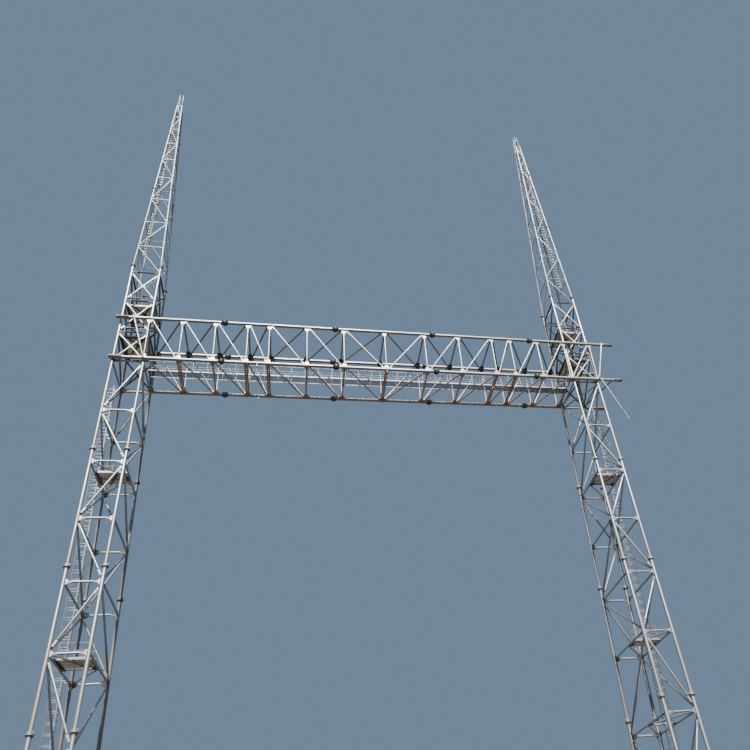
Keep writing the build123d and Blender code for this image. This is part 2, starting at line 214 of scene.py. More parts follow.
# %% [markdown]
# ## Zinc, rust and grating
# Hot-dip zinc is not one grey. It has fine bright crystals, cloudy patches where it has turned
# dull, and thin runs of dirt down from the joints. The steel around the beam's lower joints
# has rust coloured run-off. All of it is worked out from Object coordinates, so it sits still
# on every piece, and an attribute says what lies on it: 1 is brown run-off, 0 is clean, and
# -1 is black. That black is the grime of bolted joints, and also painted shade on the back legs
# and bracing and on gussets and grating seen from below. A second one, `under`, grows where a
# surface faces down and turns it mud brown: painted shade on the undersides.


# %% The zinc finish
crystal_scale, cloud_scale, run_scale, speckle_scale = 260.0, 9.0, 46.0, 75.0
run_stretch = (1.0, 1.0, 0.12)
bump_strength, bump_height = 0.25, 0.0004
# The brown is painted shade on the undersides; the black is joint grime and painted shade.
underside_shade_brown, grime_and_shade_black, dirt_shade = (0.17, 0.122, 0.076), (0.022, 0.018, 0.015), 0.45
rust_browns = [(0.35, (0.15, 0.058, 0.020)), (0.62, (0.42, 0.180, 0.062))]


def zinc(name, pale, dull, metal=0.9, rough=0.34):
    """Galvanised steel: two greys, crystals, dirt runs, and rust or grime by attribute."""
    material = bpy.data.materials.new(name)
    material.use_nodes = True
    g = Graph(material.node_tree)
    place = g.add("ShaderNodeTexCoord", out="Object")
    tall = g.add("ShaderNodeMapping", {"Vector": place, "Scale": run_stretch})
    crystals = g.add("ShaderNodeTexVoronoi", {"Vector": place, "Scale": crystal_scale},
                     out="Distance")
    clouds, runs, speckle = (
        g.add("ShaderNodeTexNoise", {"Vector": where, "Scale": scale, "Detail": detail})
        for where, scale, detail in ((place, cloud_scale, 4.0), (tall, run_scale, 3.0),
                                     (place, speckle_scale, 5.0)))
    stain_and_shade, under = (g.add("ShaderNodeAttribute", attribute_name=label, out="Fac")
                    for label in ("stain_and_shade", "under"))
    # Each mask is a pattern with its contrast raised, held between 0 and 1.
    dullness = (clouds * 1.5 - 0.35 + crystals * 0.35).clamp()
    dirt = (runs * 3.0 - 1.75).clamp() * 0.45
    # Faces that point down turn mud brown: painted shade on the undersides.
    underside_shade = (under * 1.5 + speckle * 0.5 - 0.55).clamp() * 0.8
    rust = (stain_and_shade * 1.9 + speckle * 1.5 - 1.35).clamp()
    # Below 0 the stain turns black: the grime of bolted joints, and painted shade on shaded parts.
    grime_and_shade = ((0 - stain_and_shade) * 1.25 + speckle * 0.4 - 0.2).clamp() * (0 - stain_and_shade > 0.02)
    steel = g.mix(dirt, g.mix(dullness, pale, dull), [c * dirt_shade for c in dull])
    steel = g.mix(grime_and_shade * 0.93, g.mix(underside_shade, steel, underside_shade_brown), grime_and_shade_black)
    browns = g.add("ShaderNodeValToRGB", {0: speckle})
    for stop, (place, shade) in zip(browns.socket.node.color_ramp.elements, rust_browns):
        stop.position, stop.color = place, (*shade, 1.0)
    shader = g.add("ShaderNodeBsdfPrincipled", {
        "Base Color": g.mix(rust * 0.85, steel, browns),
        "Metallic": metal * (1 - (rust + grime_and_shade + underside_shade * 0.6).clamp()),
        "Roughness": (rough + dullness * 0.16 + dirt * 0.2 + (rust + grime_and_shade) * 0.3).clamp(),
        "Normal": g.add("ShaderNodeBump", {"Strength": bump_strength, "Distance": bump_height,
                                           "Height": speckle + crystals * 0.5})})
    g.add("ShaderNodeOutputMaterial", {"Surface": shader})
    return material


finishes = {
    "leg_tube": zinc("leg_zinc", (0.47, 0.47, 0.46), (0.31, 0.31, 0.30)),
    "brace_tube": zinc("brace_zinc", (0.47, 0.47, 0.46), (0.31, 0.31, 0.305)),
    "beam_tube": zinc("beam_zinc", (0.46, 0.455, 0.44), (0.30, 0.295, 0.28)),
    "deck_grating": zinc("grating_zinc", (0.36, 0.36, 0.35), (0.22, 0.22, 0.215), rough=0.50),
    "handrail_tube": zinc("rail_zinc", (0.42, 0.42, 0.42), (0.28, 0.28, 0.28), rough=0.40),
    "ladder_steel": zinc("ladder_zinc", (0.44, 0.44, 0.44), (0.28, 0.28, 0.28)),
    "stained_steel": zinc("lug_steel", (0.36, 0.30, 0.25), (0.22, 0.17, 0.13), metal=0.3),
}
bolt_finish = zinc("bolt_steel", (0.14, 0.14, 0.14), (0.08, 0.08, 0.08), metal=0.7, rough=0.40)
print("finishes:", sorted(finishes))

# %% [markdown]
# ## One tree for all the steel
# Nearly everything on a gantry is a tube between two points, or a small part that repeats:
# a plate, a gusset, a rib, a bolt. So a piece starts as a bare mesh of points. Edges become
# tubes, with the radius that their ends carry, and loose points become the small part that
# their `kind` names, turned and sized by what they carry. That keeps hundreds of joints exact
# and alike, which copying objects by hand would not.

# %% The small parts
TUBE, PLATE, GUSSET, RIB, BOLT = range(5)
gusset_taper = 0.26


def moved(g, block, chosen, offset):
    """The block with some of its corners moved."""
    return g.add("GeometryNodeSetPosition", {"Geometry": block, "Selection": chosen,
                                             "Offset": offset})


def small_parts(g):
    """A unit plate, a gusset that narrows away from its tube, a triangular rib and a bolt."""
    cube = g.add("GeometryNodeMeshCube", {"Size": (1.0, 1.0, 1.0)})
    place = g.add("GeometryNodeInputPosition")
    x, y = (g.add("ShaderNodeSeparateXYZ", {0: place}, out=axis) for axis in (0, 1))
    outer = y > 0.0
    gusset = moved(g, cube, outer * (x > 0.0), (-gusset_taper, 0.0, 0.0))
    gusset = moved(g, gusset, outer * (0.0 - x > 0.0), (gusset_taper, 0.0, 0.0))
    rib = moved(g, cube, outer * (x > 0.0), (0.0, -1.0, 0.0))
    rib = g.add("GeometryNodeMergeByDistance", {"Geometry": rib})
    bolt = g.add("GeometryNodeMeshCylinder", {"Vertices": 6, "Radius": 1.0, "Depth": 1.0})
    return {PLATE: cube, GUSSET: gusset, RIB: rib, BOLT: bolt}


# %% The tree
def attribute(g, name, kind="FLOAT"):
    """What a point carries under that name."""
    return g.add("GeometryNodeInputNamedAttribute", {"Name": name}, data_type=kind)


steel_tree = bpy.data.node_groups.new("steelwork", "GeometryNodeTree")
steel_tree.is_modifier = True
for label, way, kind in (("Points", "INPUT", "Geometry"), ("Tube sides", "INPUT", "Int"),
                         ("Steel", "INPUT", "Material"), ("Bolts", "INPUT", "Material"),
                         ("Piece", "OUTPUT", "Geometry")):
    steel_tree.interface.new_socket(name=label, in_out=way, socket_type="NodeSocket" + kind)

g = Graph(steel_tree)
source = g.tree.nodes.new("NodeGroupInput")
given = {socket.name: Value(g, socket) for socket in source.outputs if socket.name}
spine = g.add("GeometryNodeMeshToCurve", {"Mesh": given["Points"]})
ring = g.add("GeometryNodeCurvePrimitiveCircle", {"Resolution": given["Tube sides"],
                                                  "Radius": 1.0})
tubes = g.add("GeometryNodeCurveToMesh", {"Curve": spine, "Profile Curve": ring,
                                          "Scale": attribute(g, "radius"), "Fill Caps": True})
caps = g.add("GeometryNodeInputMeshFaceNeighbors", out="Vertex Count") > 4.5
tubes = g.add("GeometryNodeSetShadeSmooth", {"Geometry": tubes, "Shade Smooth": True})
tubes = g.add("GeometryNodeSetShadeSmooth", {"Geometry": tubes, "Selection": caps,
                                             "Shade Smooth": False})
kinds = attribute(g, "kind", "INT")
is_kind = {number: g.add("FunctionNodeCompare", {2: kinds, 3: number}, data_type="INT",
                         operation="EQUAL") for number in (PLATE, GUSSET, RIB, BOLT)}
turn = g.add("FunctionNodeEulerToRotation", {0: attribute(g, "turn", "FLOAT_VECTOR")})
size = attribute(g, "size", "FLOAT_VECTOR")
join = g.tree.nodes.new("GeometryNodeJoinGeometry")
g.put(tubes, join.inputs[0])
for number, part in small_parts(g).items():
    spots = g.add("GeometryNodeMeshToPoints", {"Mesh": given["Points"],
                                               "Selection": is_kind[number]})
    g.put(g.add("GeometryNodeInstanceOnPoints", {"Points": spots, "Instance": part,
                                                 "Rotation": turn, "Scale": size}),
          join.inputs[0])
solid = g.add("GeometryNodeRealizeInstances", {0: Value(g, join.outputs[0])})
solid = g.add("GeometryNodeSetMaterial", {"Geometry": solid, "Material": given["Steel"]})
solid = g.add("GeometryNodeSetMaterial", {"Geometry": solid, "Selection": is_kind[BOLT],
                                          "Material": given["Bolts"]})
# Faces that point down are marked here, for the painted shade of the undersides.
height = g.add("ShaderNodeSeparateXYZ", {0: g.add("GeometryNodeInputNormal")}, out=2)
solid = g.add("GeometryNodeStoreNamedAttribute", {"Geometry": solid, "Name": "under",
                                                  "Value": (0 - height).clamp()},
              data_type="FLOAT", domain="POINT")
g.add("NodeGroupOutput", {0: solid})
identifiers = {item.name: item.identifier for item in steel_tree.interface.items_tree}
print("tree nodes:", len(steel_tree.nodes), identifiers)


# %% A piece as points
def square_to(axis):
    """Two directions square to an axis and to each other."""
    guide = upright if abs(axis.z) < 0.7 else along_beam
    first = axis.cross(guide).normalized()
    return first, axis.cross(first).normalized()


def placed(name, data):
    """A new object of that data, linked into the scene."""
    thing = bpy.data.objects.new(name, data)
    bpy.context.scene.collection.objects.link(thing)
    return thing


def spokes(first, second, count, shift=0.0):
    """Directions all round, from the first towards the second."""
    angles = [2 * math.pi * (i + shift) / count for i in range(count)]
    return [first * math.cos(angle) + second * math.sin(angle) for angle in angles]


class Steelwork:
    """The points of one piece, in millimetres, until they are made into steel."""

    def __init__(self):
        self.places, self.edges, self.carried = [], [], []

    def point(self, place, kind=TUBE, radius=0.0, turn=(0, 0, 0), size=(1, 1, 1), stain_and_shade=0.0):
        self.places.append(place * MM)
        self.carried.append((kind, radius * MM, turn, [s * MM for s in size], stain_and_shade))
        return len(self.places) - 1

    def run(self, places, radius, stains_and_shades=None):
        """A tube through several points, with a value at each for its stain and painted shade."""
        stains_and_shades = stains_and_shades or [0.0] * len(places)
        ids = [self.point(p, radius=radius, stain_and_shade=s) for p, s in zip(places, stains_and_shades)]
        self.edges += list(zip(ids, ids[1:]))

    def fit(self, kind, place, x, y, size, stain_and_shade=0.0):
        """A small part with its own X and Y laid along two directions."""
        x = x.normalized()
        z = x.cross(y).normalized()
        turn = Matrix((x, z.cross(x), z)).transposed().to_euler()
        self.point(place, kind, turn=turn, size=size, stain_and_shade=stain_and_shade)

    def bolt(self, place, axis, radius, height):
        """A hexagon head, flat on a surface that faces along the axis."""
        x, y = square_to(axis)
        self.fit(BOLT, place + axis.normalized() * height / 2, x, y, (radius, radius, height))

    def strip(self, start, end, across, width, thickness, stain_and_shade=0.0):
        """A flat bar from start to end, its width measured along across."""
        self.fit(PLATE, (start + end) / 2, end - start, across,
                 ((end - start).length, width, thickness), stain_and_shade)

    def make(self, name, slot, sides=12):
        """Turn the points into the finished piece that stands for its CAD node."""
        mesh = bpy.data.meshes.new(name + "_points")
        mesh.from_pydata(self.places, self.edges, [])
        # The stain attribute: rust above 0, and below 0 joint grime together with painted shade.
        for i, (label, kind, field) in enumerate((
                ("kind", "INT", "value"), ("radius", "FLOAT", "value"),
                ("turn", "FLOAT_VECTOR", "vector"), ("size", "FLOAT_VECTOR", "vector"),
                ("stain_and_shade", "FLOAT", "value"))):
            carried = mesh.attributes.new(label, kind, "POINT")
            values = [c[i] for c in self.carried]
            if field == "vector":
                values = [number for vector in values for number in vector]
            carried.data.foreach_set(field, values)
        rough = placed(name + "_points", mesh)
        modifier = rough.modifiers.new("steel", "NODES")
        modifier.node_group = steel_tree
        modifier[identifiers["Tube sides"]] = sides
        modifier[identifiers["Steel"]] = finishes[slot]
        modifier[identifiers["Bolts"]] = bolt_finish
        ready = rough.evaluated_get(bpy.context.evaluated_depsgraph_get())
        finished = bpy.data.meshes.new_from_object(ready)
        for label in ("kind", "radius", "turn", "size"):
            if label in finished.attributes:
                finished.attributes.remove(finished.attributes[label])
        finished.name = name
        bpy.data.objects.remove(rough)
        bpy.data.meshes.remove(mesh)
        piece = placed(name, finished)
        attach(piece, "root")
        print(name, len(finished.polygons), "faces")
        return piece


# %% [markdown]
# ## Flanges
# Tube lengths meet in ring flanges: two plates, a circle of bolts through both, and small
# triangular ribs that stiffen each plate against its tube. From far below they show as dark
# lumps, so their outline matters more than their detail.


# %% A ribbed, bolted flange
plate_gap, flange_rib, flange_bolt = 0.25, 2.2, (1.6, 2.2)


def ribs_round(work, surface, out, directions, radius, size, stain_and_shade=0.0):
    """Ribs that stand on a surface, against a tube of that radius."""
    depth, height = size[:2]
    for spoke in directions:
        work.fit(RIB, surface + out * height / 2 + spoke * (radius + depth / 2), spoke, out,
                 size, stain_and_shade)


# By default the lower plate is darker: painted shade under the ring.
def flange(work, place, axis, radius, reach, bolts=12, ribs=12, faces=(-1, 1),
           stains_and_shades=(-0.4, 0.0)):
    """Two ring plates with bolts and ribs; the first of the stains is the lower plate's."""
    axis = axis.normalized()
    u, v = square_to(axis)
    plate, rib_depth, rib_height, bolt_ring = (share * reach for share in (0.6, 0.84, 1.7, 0.62))
    for way in faces:
        out, stain_and_shade = axis * way, stains_and_shades[way > 0]
        surface = place + out * plate
        work.run([place + out * plate_gap, surface], radius + reach, [stain_and_shade] * 2)
        ribs_round(work, surface, out, spokes(u, v, ribs), radius,
                   (rib_depth, rib_height, flange_rib), stain_and_shade)
        for spoke in spokes(u, v, bolts, 0.5):
            work.bolt(surface + spoke * (radius + bolt_ring), out, *flange_bolt)


# %% [markdown]
# ## Column legs
# A leg is four lengths of tube that get thinner upwards, with a flange in each joint, a base
# plate with ribs and anchor bolts, and a level flange at the top that carries the mast.


# %% Legs
foot_rib, foot_ribs, rib_overlap = (26.0, 34.0, 3.0), 8, 1.0
washer, nut, anchor = (4.2, 0.8), (3.6, 4.0), (1.9, 11.0)
# The back legs are darkened: painted shade.
back_leg_painted_shade = -0.35


def column_leg(column, side, face, name):
    """A leg with its flanges and its foot, for the CAD node of that name."""
    work = Steelwork()
    foot = leg_point(column, side, face, foot_thickness)
    tilt = leg_radii[0] * (base_depth - top_depth) / 2 / mast_top
    stand = leg_point(column, side, face, foot_thickness + seat + tilt)
    cuts = [leg_point(column, side, face, levels[j] + joint_rise) for j in leg_joints]
    top = leg_point(column, side, face, mast_foot - seat - flange_thickness / 2)
    joints = [foot] + cuts + [top]
    way = (top - foot).normalized()
    for low, high, radius in zip(joints, joints[1:], leg_radii):
        work.run([low, high], radius, [back_leg_painted_shade if face > 0 else 0.0] * 2)
    for joint, radius in zip(cuts, leg_radii):
        flange(work, joint, way, radius, flange_reach)
    flange(work, top + upright * flange_thickness / 2, upright, leg_radii[-1], flange_reach,
           faces=(-1,))
    base = Vector((stand.x, stand.y, foot_thickness / 2))
    work.fit(PLATE, base, along_beam, across_beam, (foot_size, foot_size, foot_thickness))
    plate_top = base + upright * foot_thickness / 2
    ribs_round(work, plate_top, upright, spokes(along_beam, across_beam, foot_ribs),
               leg_radii[0] - rib_overlap, foot_rib)
    for i, j in corner_signs:
        hole = plate_top + (along_beam * i + across_beam * j) * anchor_spacing / 2
        work.bolt(hole, upright, *washer)
        work.bolt(hole + upright * washer[1], upright, *nut)
        work.run([hole, hole + upright * anchor[1]], anchor[0])
    piece = work.make(name + "_tube", "leg_tube", sides=24)
    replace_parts(piece, name)


for column, out in outward.items():
    for face_name, face in (("front", -1), ("back", 1)):
        for side_name, side in (("outer", out), ("inner", -out)):
            column_leg(column, side, face, f"{column}_{face_name}_{side_name}_leg")

# %% [markdown]
# ## Braces
# A brace is a thinner tube, slotted over a flat end plate, and the plate is bolted to a lug or
# a gusset that is welded to the leg. The gusset is what the eye catches in the lattice's
# corners: it is wide at the leg and narrows to where the tubes begin. The sizes of all of them
# are shares of the tube's own, so the thin braces of a mast get small plates by themselves.


# %% A brace with its end plates
plate_width, plate_thickness, plate_shift, plate_lap = 0.85, 0.16, 0.18, 0.9
lug_thickness, lug_gap, gusset_thickness = 0.19, 0.1, 0.2
weld_reach, weld_lean = 0.93, 0.35
bolt_radius, bolt_height, first_hole, last_hole = 0.17, 0.16, 0.75, 0.5
plate_stain, tube_stain = -0.15, 0.6


def strut(work, start, end, rails, reaches, facing, size, stains_and_shades=(0.0, 0.0), lap=1.0,
          plate=2.1):
    """A tube between two tubes' axes, slotted over end plates that lap lugs on the surfaces."""
    way = (end - start).normalized()
    across = facing.cross(way).normalized()
    off = way.cross(across) * lap
    shift = off * plate_shift * size
    ends = []
    for place, out, rail_way, reach, stain_and_shade in zip((start, end), (way, -way), rails, reaches,
                                                  stains_and_shades):
        cosine = abs(way.dot(rail_way.normalized()))
        sine = math.sqrt(1 - cosine ** 2)
        surface = (reach + size / 2 * cosine) / sine
        throat = surface + plate * size
        weld = place + out * (weld_reach * reach + weld_lean * size * cosine) / sine
        lug_end, plate_end = (place + out * (throat + more * size)
                              for more in (-lug_gap, plate_lap))
        for first, last, thickness in ((weld, lug_end, lug_thickness),
                                       (weld + shift, plate_end + shift, plate_thickness)):
            work.strip(first, last, across, plate_width * size, thickness * size,
                       stain_and_shade + plate_stain)
        for step in (first_hole, plate - last_hole):
            hole = place + out * (surface + step * size)
            for head in (plate_shift + plate_thickness / 2, -gusset_thickness / 2):
                work.bolt(hole + off * head * size, off * (1 if head > 0 else -1),
                          bolt_radius * size, bolt_height * size)
        ends.append(place + out * throat)
    work.run(ends, size / 2, [tube_stain * stain_and_shade for stain_and_shade in stains_and_shades])


def gusset(work, place, rail_way, inward, reach, size, stain_and_shade, wide, deep):
    """A plate on a tube's surface at a node, wide at the tube and narrow where it ends."""
    middle_of_plate = place + inward.normalized() * (reach + deep * size / 2 - seat)
    work.fit(GUSSET, middle_of_plate, rail_way, inward,
             (wide * size, deep * size, gusset_thickness * size), stain_and_shade)


# %% The four faces of a column and a mast
level_plate, diagonal_plate = 2.6, 3.0
small_gusset, large_gusset, crossing = (3.0, 1.0), (3.6, 1.9), (2.2, 2.0, 0.2)
# Over the beam the level bars are made near black and the crossed diagonals six times darker; mast
# bracing twice.
head_bar_darkening, head_shade, mast_shade = -1.5, 6, 2
# Painted shade on the gussets at the back legs and at the beam's back top chord.
dark = -0.95
# The stain of a face's bars, and of the gussets on its first leg and on its second. The back
# and side faces' bars and the gussets at the back legs are darkened as painted shade.
face_stains_and_shades = {"front": (0.0, (0.0, 0.0)), "back": (-0.3, (dark, dark)),
               "outer": (-0.15, (0.0, dark)), "inner": (-0.15, (0.0, dark))}
mast_knots = (-0.8, -0.8)


def face_bracing(work, legs, heights, starts, crossed, size, facing, dull, knots):
    """Level bars at each height, and in each panel a diagonal, or two where it is crossed.

    The level bars over the beam are made near black, and dull is the darkening of all the rest,
    painted shade on the back and side faces. The knots are the stains of the gussets at the first
    leg and at the second, painted shade at the back legs.
    """
    rails = [leg(heights[-1]) - leg(heights[0]) for leg in legs]
    up = [way.normalized() * heel for way in rails]
    for k, z in enumerate(heights[1:], 1):
        ends, reach = [leg(z) for leg in legs], leg_radius(z)
        grime_and_shade = head_bar_darkening if crossed and k > crossed[0] else dull
        strut(work, *ends, rails, [reach] * 2, facing, size, (grime_and_shade, grime_and_shade), plate=level_plate)
        span = ends[1] - ends[0]
        for end, rail_way, inward, knot in zip(ends, rails, (span, -span), knots):
            spread = large_gusset if crossed and knot == dark else small_gusset
            gusset(work, end, rail_way, inward, reach, size, min(grime_and_shade, knot), *spread)
    for i, (low, high) in enumerate(zip(heights, heights[1:])):
        shade = head_shade * dull if i in crossed else dull
        for lap, a in zip((1, -1), (0, 1) if i in crossed else (starts[i],)):
            b = 1 - a
            strut(work, legs[a](low) + up[a], legs[b](high) - up[b], [rails[a], rails[b]],
                  [leg_radius(low), leg_radius(high)], facing, size, (shade, shade), lap,
                  diagonal_plate)
        if i in crossed:
            centre = (legs[0](low) + legs[1](low) + legs[0](high) + legs[1](high)) / 4
            work.fit(PLATE, centre, rails[0], facing.cross(rails[0]),
                     [share * size for share in crossing], dull)


def zigzag(heights, first):
    """The leg at which the diagonal of each panel starts, by turns."""
    return [(i + first) % 2 for i in range(len(heights) - 1)]


face_heights = levels[:-1] + [beam_height - cap_drop] + rings[1:]
crossed = list(range(len(column_panels), len(column_panels) + len(head_panels)))
for column, out in outward.items():
    for name, facing, sign in (("front", across_beam, -1), ("back", across_beam, 1),
                               ("outer", along_beam, out), ("inner", along_beam, -out)):
        if facing is across_beam:
            legs = [lambda z, s=s: leg_point(column, s, sign, z) for s in (-1, 1)]
        else:
            legs = [lambda z, f=f: leg_point(column, sign, f, z) for f in (-1, 1)]
        starts = zigzag(face_heights, sign < 0)
        if name == "back":
            # From the seventh panel up, they all start at the same leg.
            starts[6:] = [0] * len(starts[6:])
        dull, knots = face_stains_and_shades[name]
        work = Steelwork()
        face_bracing(work, legs, face_heights, starts, crossed, brace, facing, dull, knots)
        piece = work.make(f"{column}_{name}_braces", "brace_tube")
        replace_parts(piece, f"{column}_{name}_bracing")
        work = Steelwork()
        face_bracing(work, legs, mast_levels, zigzag(mast_levels, sign < 0), [], mast_brace,
                     facing, mast_shade * dull, mast_knots)
        piece = work.make(f"{column}_mast_{name}_braces", "brace_tube", sides=10)
        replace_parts(piece, f"{column}_mast_{name}_bracing")


# %% [markdown]
# ## Mast legs
# The masts are the same idea at half the size: thin legs in three lengths, and over the top
# ring the four legs run on bare to their tips.

# %% Mast legs
mast_rib, mast_ribs, rib_base = (13.0, 22.0, 2.0), 6, 3.0
# The back mast legs are darkened: painted shade.
back_mast_painted_shade, mast_foot_stain, mast_rib_stain = -0.3, -0.9, -0.8

for column in outward:
    work = Steelwork()
    for side, face in corner_signs:
        foot = leg_point(column, side, face, mast_foot)
        cuts = [leg_point(column, side, face, rings[-1] + rise) for rise in mast_joints]
        top = leg_point(column, side, face, mast_top)
        way = (top - foot).normalized()
        work.run([foot, top], mast_leg_radius, [back_mast_painted_shade if face > 0 else 0.0] * 2)
        work.run([top, top + way * tip_rise], tip_radius)
        for cut in cuts:
            # The lower plates are darker than the upper ones: painted shade under the ring, over
            # the grime of the joint.
            flange(work, cut, way, mast_leg_radius, mast_flange_reach, bolts=8, ribs=6,
                   stains_and_shades=(-0.8, -0.6))
        flange(work, foot, upright, leg_radii[-1], flange_reach, faces=(1,), ribs=0,
               stains_and_shades=[mast_foot_stain] * 2)
        ribs_round(work, foot + upright * rib_base, upright,
                   spokes(along_beam, across_beam, mast_ribs), mast_leg_radius - rib_overlap / 2,
                   mast_rib, mast_rib_stain)
    piece = work.make(f"{column}_mast_tubes", "leg_tube", sides=16)
    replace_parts(piece, f"{column}_mast_legs")


# %% [markdown]
# ## Level frames, decks and handrails
# The rest decks are open bar grating. From below that is a fine dark veil, so it is made of
# real bars on edge with thin rods across them, not of a flat sheet. They are made near black:
# painted shade on their undersides.


# %% Level frames inside the columns
low_rest, high_rest, low_frame = levels[3], levels[6], levels[2]
plan_size, plan_gusset = 0.8 * brace, (-0.9, 4.4, 2.2)


def plan_frame(work, column, z):
    """A bar across the middle, and two from its inner end out to the outer legs."""
    out = outward[column]
    ends = [Vector((columns[column] - side * out * half_width(z), 0, z)) for side in (-1, 1)]
    grime_and_shade = -1.0 if z == high_rest else -0.1
    strut(work, *ends, [across_beam] * 2, [brace / 2] * 2, upright, plan_size, (grime_and_shade, grime_and_shade))
    for face in (-1, 1):
        strut(work, leg_point(column, out, face, z), ends[1], [upright, across_beam],
              [leg_radius(z), brace / 2], upright, plan_size, (0.0, -0.2))
    for end, inward in zip(ends, (ends[1] - ends[0], ends[0] - ends[1])):
        gusset(work, end, across_beam, inward, brace / 2, brace, *plan_gusset)


# %% Grating
# The grating is made near black: painted shade under the decks and the walkway.
grating_painted_shade, rod_drop = -0.9, 0.6
bar_width, bar_margin, rod_width, rod_margin = 0.8, 0.4, 0.9, 0.5


def grating(work, xs, ys, top, lengthways, pitch=4.0, rod_pitch=10.0):
    """Bars on edge, lengthways along X or else along Y, and thin rods across them, near black as
    painted shade.
    """
    ways = [(along_beam, xs[1] - xs[0]), (across_beam, ys[1] - ys[0])]
    bars, rods = ways if lengthways else reversed(ways)
    for (way, length), (across, span), drop, step, margin, size in (
            (bars, rods, deck_thickness / 2, pitch, bar_margin, (bar_width, deck_thickness)),
            (rods, bars, rod_drop, rod_pitch, rod_margin, (rod_width, rod_width))):
        corner_of_deck = Vector((xs[0], ys[0], top - drop))
        count = round(span / step)
        for i in range(count + 1):
            start = corner_of_deck + across * min(max(i * span / count, margin), span - margin)
            work.strip(start, start + way * length, across, *size, grating_painted_shade)


# %% Handrails round the decks
post_pitch, post_foot, knee_rail = 90.0, (8.0, 8.0, 1.0), 0.52
kick_plate, kick_lift = (10.0, 0.6), upright * 6.0
edge_strip, edge_lift = (12.0, 2.0), 2.0


def guard(work, column, z, front, back):
    """Posts, a top rail, a knee rail and a kick plate."""
    x, floor_z = columns[column], z + brace / 2 + seat + deck_thickness
    wide = half_width(z + rail_height) - deck_clearance - rail / 2
    front, back = front + rail / 2, back - rail / 2
    corners = [Vector((x + side * wide, y, floor_z))
               for side, y in ((-1, front), (1, front), (1, back), (-1, back))]
    top = rail_height + rail / 2 + seat
    for a, b in zip(corners, corners[1:] + corners[:1]):
        posts = max(1, round((b - a).length / post_pitch))
        for i in range(posts):
            foot = a + (b - a) * i / posts
            work.run([foot, foot + upright * top], rail / 2)
            work.fit(PLATE, foot + upright * post_foot[2] / 2, along_beam, across_beam, post_foot)
        for height in (top, top * knee_rail):
            work.run([a + upright * height, b + upright * height], rail / 2)
        work.strip(a + kick_lift, b + kick_lift, upright, *kick_plate)


# Each deck is given by its height, its front edge and its back edge.
rest_decks = {"left": [(low_rest, -180.0, 0.0), (high_rest, -78.0, 106.0)],
              "right": [(low_rest, -95.0, 0.0), (high_rest, -150.0, 16.0)]}
head_decks = [(z, deck_gap - half_depth(z), half_depth(z + rail_height) - deck_clearance)
              for z in (rings[1], rings[2])]
for column in outward:
    work = Steelwork()
    for z in (low_rest, high_rest, low_frame):
        plan_frame(work, column, z)
    cap = beam_height - cap_drop - brace - seat
    strut(work, leg_point(column, 1, -1, cap), leg_point(column, -1, 1, cap), [upright] * 2,
          [leg_radii[-1]] * 2, upright, brace)
    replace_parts(work.make(f"{column}_level_frames", "brace_tube"), f"{column}_plan_bracing")
    decks, rails_of_decks = Steelwork(), Steelwork()
    for z, front, back in rest_decks[column] + head_decks:
        underside = z + brace / 2 + seat
        sides = [columns[column] + side * half_width(z) for side in (-1, 1)]
        grating(decks, sides, (front, back), underside + deck_thickness, True)
        for y in (front, back):
            ends = [Vector((x, y, underside + edge_lift)) for x in sides]
            decks.strip(*ends, upright, *edge_strip)
        guard(rails_of_decks, column, z, front, back)
    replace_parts(decks.make(f"{column}_gratings", "deck_grating"), f"{column}_platforms")
    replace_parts(rails_of_decks.make(f"{column}_handrails", "handrail_tube", sides=8),
                f"{column}_platform_rails")

# %% [markdown]
# ## Ladders
# Each column has a caged ladder on its outer side, and the mast over it has a slimmer one in
# its own hoops. The rungs stand 300 mm apart on the real gantry, so 30 mm here, and from far
# below they merge into the grey ribbon that runs up the back leg.


# %% Ladder and cage
stile_thickness, rung_radius = 0.7 * rung, 0.6 * rung
hoop_band, strap_band, cage_stain, ladder_stain = (5.0, 0.8), (4.0, 0.8), -0.35, -0.3
# A hoop is an arc: its middle and reach as shares of the depth, its width as one of the ladder's.
hoop_middle, hoop_reach, hoop_width, hoop_angles = 0.42, 0.565, 1.1, range(-100, 101, 25)
mast_hoop_pitch, mast_hoop_depth, mast_hoop_stain = 45.0, 42.0, -0.2
mast_cage_share, mast_hoop_share = 0.95, 0.75
half_circle = [math.pi * i / 6 for i in range(7)]


def ladder(work, foot, head, grime_and_shade=0.0):
    """Two flat stiles with round rungs between them."""
    way = (head - foot).normalized()
    half = across_beam * ladder_width / 2
    for side in (-1, 1):
        work.strip(foot + half * side, head + half * side, across_beam, stile_thickness, stile,
                   grime_and_shade)
    for i in range(int((head - foot).length / rung_pitch)):
        place = foot + way * rung_pitch * (i + 0.5)
        work.run([place - half, place + half], rung_radius, [grime_and_shade] * 2)


def climb_line(column, z):
    """Middle of the outside ladder at height z."""
    x = columns[column] + outward[column] * (column_width / 2 + leg_radii[-1] + ladder_standoff)
    return Vector((x, half_depth(z) - ladder_inset - ladder_width / 2, z))


def hoop_points(column, z):
    """The corners of a cage hoop, from stile to stile round the ladder."""
    half, out = ladder_width / 2, along_beam * outward[column]
    arc = [(cage_depth * (hoop_middle + hoop_reach * math.cos(a)), half * hoop_width * math.sin(a))
           for a in map(math.radians, hoop_angles)]
    return [climb_line(column, z) + out * x + across_beam * y
            for x, y in [(0, -half)] + arc + [(0, half)]]


